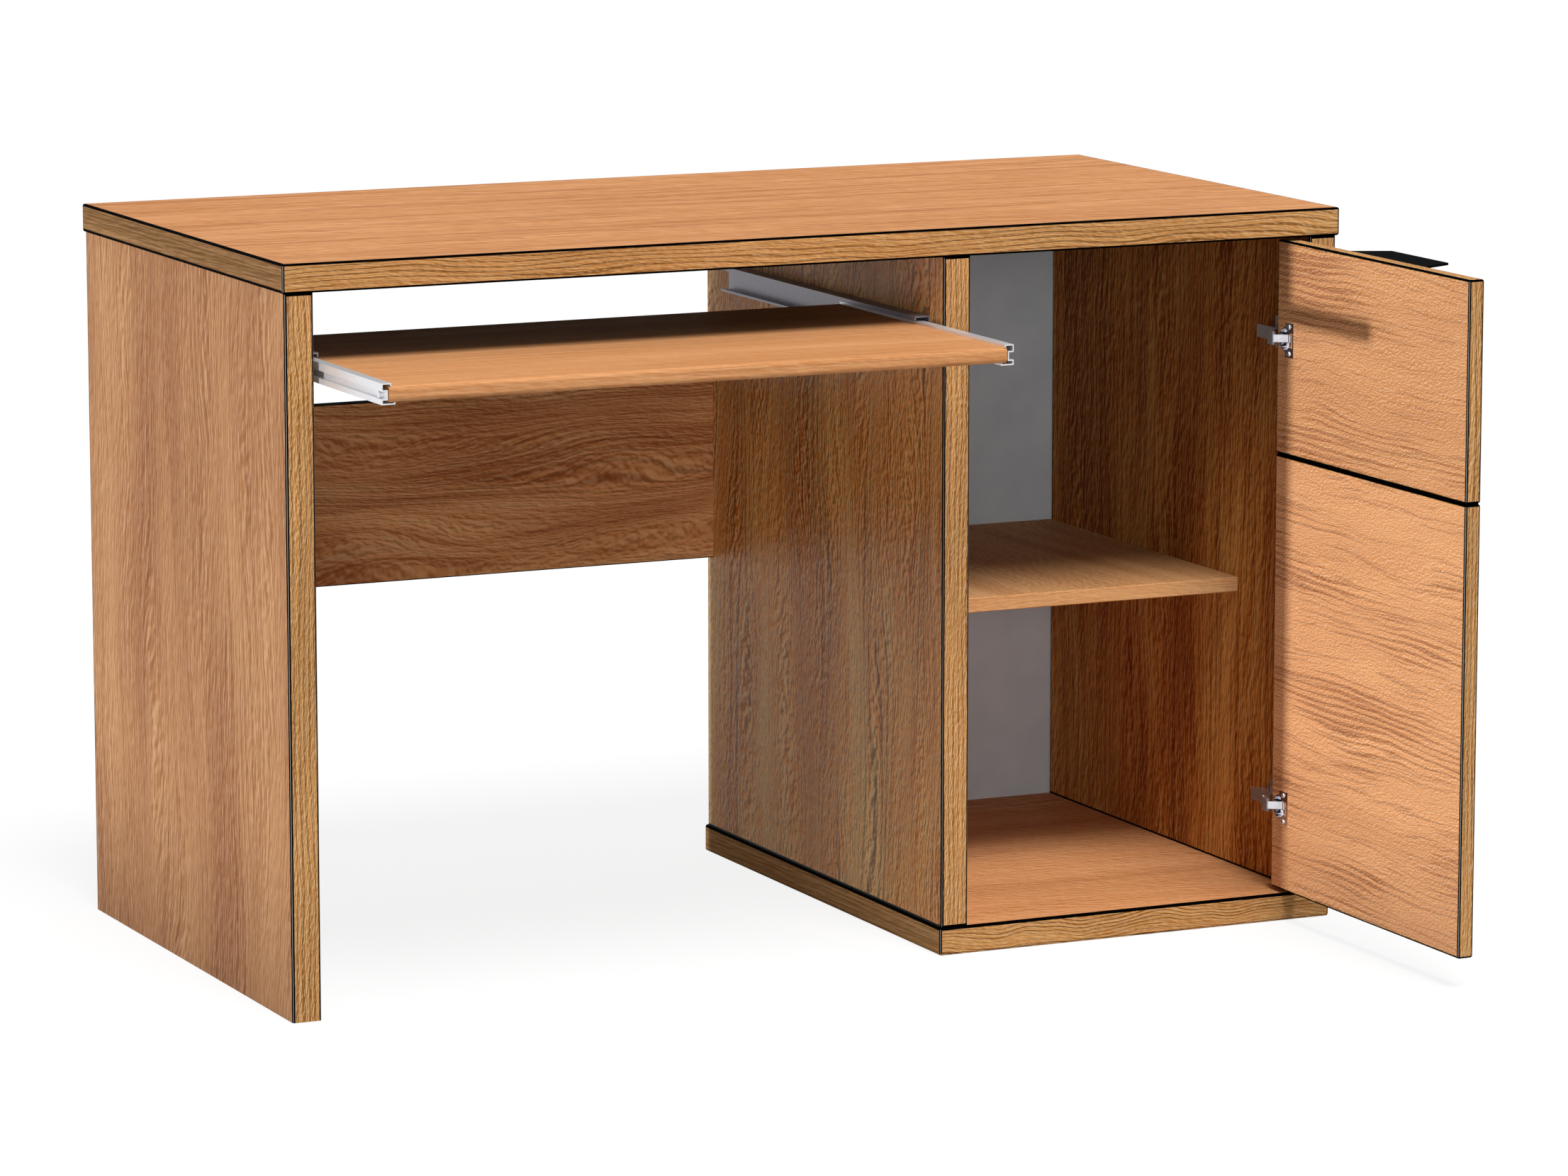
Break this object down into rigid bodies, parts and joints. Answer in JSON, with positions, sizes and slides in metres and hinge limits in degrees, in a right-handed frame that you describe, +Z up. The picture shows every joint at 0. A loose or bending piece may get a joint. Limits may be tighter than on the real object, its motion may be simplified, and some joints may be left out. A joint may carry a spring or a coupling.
{
  "type": "writing desk",
  "caption": "Panel desk with a pull-out keyboard tray on rails, a modesty panel and a cupboard with a shelf behind a hinged door with a plate handle.",
  "frame": {"origin": "on the floor, under the centre of the box of the desk with its door open and its tray pulled out", "axes": "+Z up, +X to the right of the sitter, the front faces -Y"},
  "size_m": [1.2, 0.9714, 0.77],
  "materials": {
    "oak_laminate": "satin, embossed grain",
    "oak_edge_band": "satin, dark milled arrises",
    "black_edging": "matte",
    "grey_hardboard": "matte lacquer",
    "beech_dowel": "raw, fluted dowel stock",
    "galvanised_steel": "zinc plated",
    "nickel_plated_steel": "nickel plated",
    "steel_fixings": "zinc plated",
    "black_plastic": "matte",
    "black_lacquered_steel": "matte lacquer"
  },
  "bodies": {
    "carcass": {"back_panel_nails": "steel_fixings", "base_back_band": "oak_edge_band", "base_board": "oak_laminate", "base_front_band": "oak_edge_band", "base_left_band": "oak_edge_band", "base_right_band": "oak_edge_band", "cabinet_back": "grey_hardboard", "cabinet_shelf": "oak_laminate", "carcass_dowels": "beech_dowel", "case_rail_screws": "steel_fixings", "desk_top_back_band": "oak_edge_band", "desk_top_board": "oak_laminate", "desk_top_front_band": "oak_edge_band", "desk_top_left_band": "oak_edge_band", "desk_top_right_band": "oak_edge_band", "hinge_fixing_screws": "steel_fixings", "hinge_pins": "nickel_plated_steel", "hinge_plate_screws": "steel_fixings", "left_case_rail": "galvanised_steel", "left_leg_back_band": "oak_edge_band", "left_leg_board": "oak_laminate", "left_leg_front_band": "oak_edge_band", "left_rail_guide": "black_plastic", "lower_hinge_arm": "nickel_plated_steel", "lower_hinge_plate": "nickel_plated_steel", "middle_panel_back_band": "oak_edge_band", "middle_panel_board": "oak_laminate", "middle_panel_front_band": "oak_edge_band", "modesty_bottom_band": "black_edging", "modesty_panel": "oak_laminate", "modesty_top_band": "black_edging", "right_case_rail": "galvanised_steel", "right_panel_back_band": "oak_edge_band", "right_panel_board": "oak_laminate", "right_panel_front_band": "oak_edge_band", "right_rail_guide": "black_plastic", "shelf_pins": "steel_fixings", "upper_hinge_arm": "nickel_plated_steel", "upper_hinge_plate": "nickel_plated_steel"},
    "tray": {"keyboard_tray": "oak_laminate", "left_rear_glide": "black_plastic", "left_tray_rail": "galvanised_steel", "right_rear_glide": "black_plastic", "right_tray_rail": "galvanised_steel", "tray_rail_screws": "steel_fixings", "tray_stop_pin": "steel_fixings"},
    "door": {"door_dowels": "beech_dowel", "door_handle": "black_lacquered_steel", "door_joining_strip": "black_edging", "handle_screws": "steel_fixings", "hinge_cup_screws": "steel_fixings", "lower_door_bands": "oak_edge_band", "lower_door_panel": "oak_laminate", "lower_hinge_cup": "nickel_plated_steel", "upper_door_bands": "oak_edge_band", "upper_door_panel": "oak_laminate", "upper_hinge_cup": "nickel_plated_steel"}
  },
  "joints": [
    {"name": "tray_slide", "type": "slide", "parent": "carcass", "child": "tray", "axis": [0, -1, 0], "range_m": [-0.188, 0.085]},
    {"name": "door_hinge", "type": "hinge", "parent": "carcass", "child": "door", "pos_m": [0.5475, -0.10375, 0.385], "axis": [0, 0, 1], "range_deg": [-90, 5]}
  ]
}
